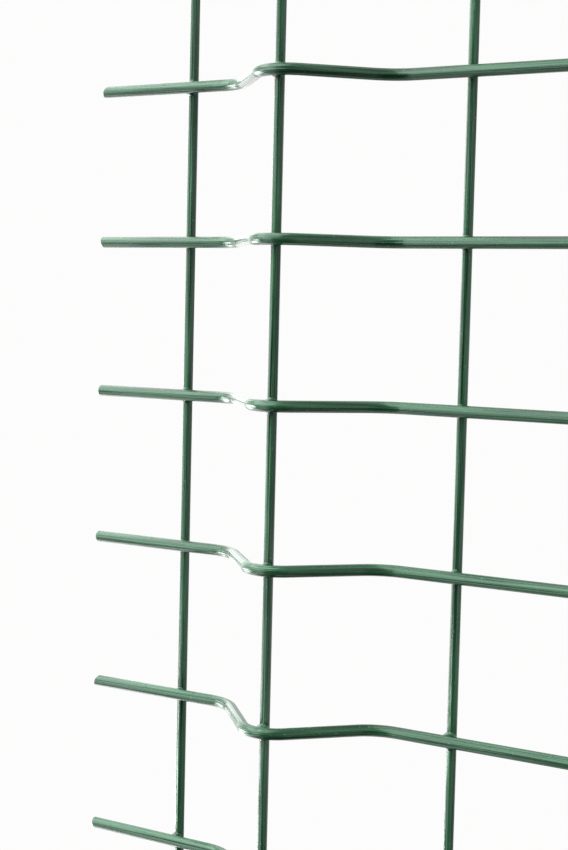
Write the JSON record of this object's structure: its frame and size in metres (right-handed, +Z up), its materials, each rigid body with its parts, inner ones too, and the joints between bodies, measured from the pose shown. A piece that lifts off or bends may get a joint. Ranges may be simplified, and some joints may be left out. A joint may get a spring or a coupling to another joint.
{
  "type": "folded welded mesh fence panel",
  "caption": "Rigid fence panel of green plastic-coated wires: folded upright wires welded to line wires behind them, with free wire ends along the top.",
  "frame": {"origin": "foot of the left end upright, on the outer flat that bears on the post", "axes": "+X along the fence to the right, +Z up, +Y to the back, where the line wires lie; the folds stand out towards -Y"},
  "size_m": [2.008, 0.0314, 1.038],
  "materials": {
    "green_coat": "glossy plastic coat over galvanised steel wire"
  },
  "bodies": {
    "root": {"upright_wire_01": "green_coat", "upright_wire_02": "green_coat", "upright_wire_03": "green_coat", "upright_wire_04": "green_coat", "upright_wire_05": "green_coat", "upright_wire_06": "green_coat", "upright_wire_07": "green_coat", "upright_wire_08": "green_coat", "upright_wire_09": "green_coat", "upright_wire_10": "green_coat", "upright_wire_11": "green_coat", "upright_wire_12": "green_coat", "upright_wire_13": "green_coat", "upright_wire_14": "green_coat", "upright_wire_15": "green_coat", "upright_wire_16": "green_coat", "upright_wire_17": "green_coat", "upright_wire_18": "green_coat", "upright_wire_19": "green_coat", "upright_wire_20": "green_coat", "upright_wire_21": "green_coat", "upright_wire_22": "green_coat", "upright_wire_23": "green_coat", "upright_wire_24": "green_coat", "upright_wire_25": "green_coat", "upright_wire_26": "green_coat", "upright_wire_27": "green_coat", "upright_wire_28": "green_coat", "upright_wire_29": "green_coat", "upright_wire_30": "green_coat", "upright_wire_31": "green_coat", "upright_wire_32": "green_coat", "upright_wire_33": "green_coat", "upright_wire_34": "green_coat", "upright_wire_35": "green_coat", "upright_wire_36": "green_coat", "upright_wire_37": "green_coat", "upright_wire_38": "green_coat", "upright_wire_39": "green_coat", "upright_wire_40": "green_coat", "upright_wire_41": "green_coat", "line_wire_1": "green_coat", "line_wire_2": "green_coat", "line_wire_3": "green_coat", "line_wire_4": "green_coat", "line_wire_5": "green_coat", "line_wire_6": "green_coat", "line_wire_7": "green_coat", "line_wire_8": "green_coat", "line_wire_9": "green_coat"}
  },
  "joints": []
}
